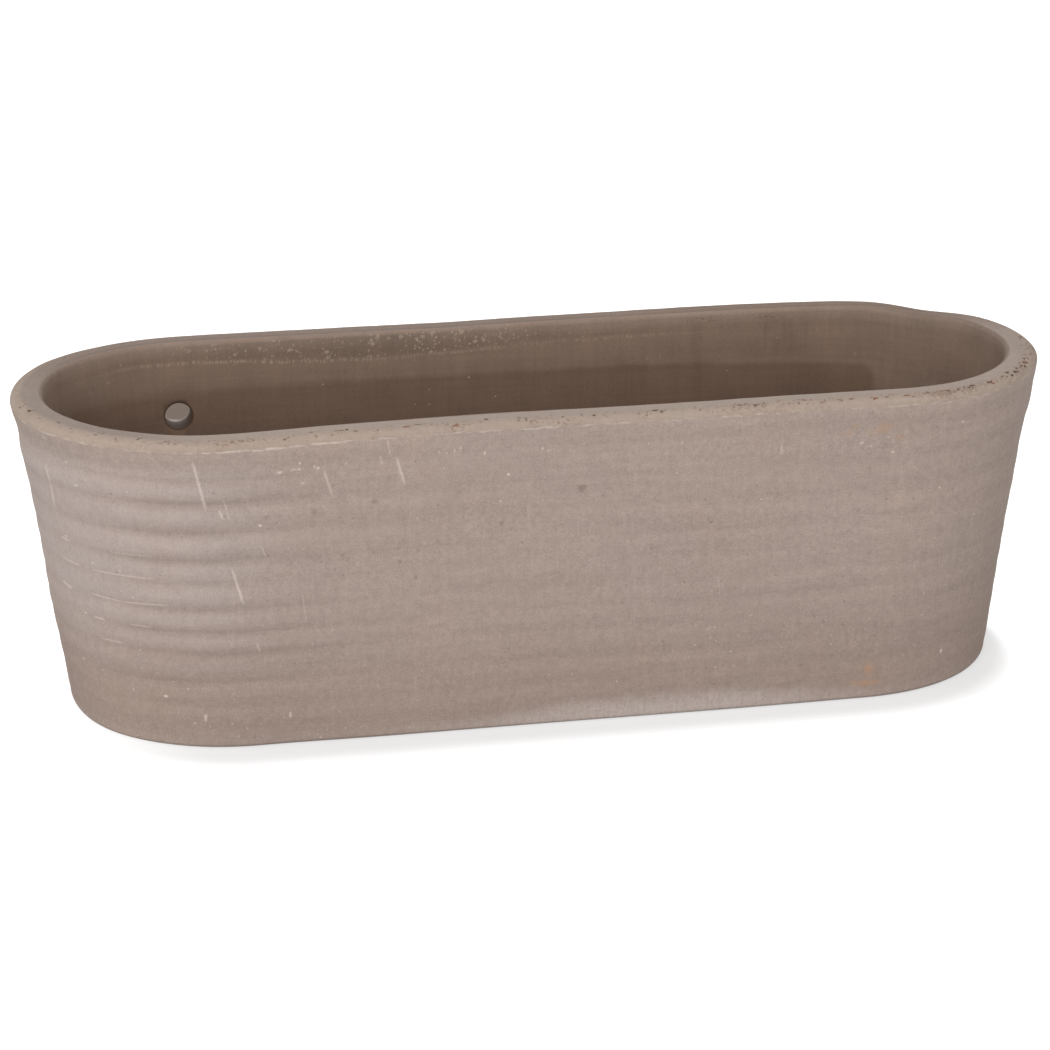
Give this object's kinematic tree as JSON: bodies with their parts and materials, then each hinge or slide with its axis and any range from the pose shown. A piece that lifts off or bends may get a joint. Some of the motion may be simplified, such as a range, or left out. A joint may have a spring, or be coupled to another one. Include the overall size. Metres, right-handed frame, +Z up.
{
  "type": "wall planter",
  "caption": "Oblong fired-clay trough with round ends, ringed walls, a bevelled rim, drain holes in its floor and a hole through its back wall.",
  "frame": {"origin": "middle of the flat underside, on the ground", "axes": "+Z up, +X along the trough, +Y towards the building wall behind it"},
  "size_m": [0.45, 0.155, 0.138],
  "materials": {
    "fired_clay": "matte unglazed fired clay, grey-brown, with fine pores, pale scratches and lime marks"
  },
  "bodies": {
    "root": {"planter_body": "fired_clay"}
  },
  "joints": []
}
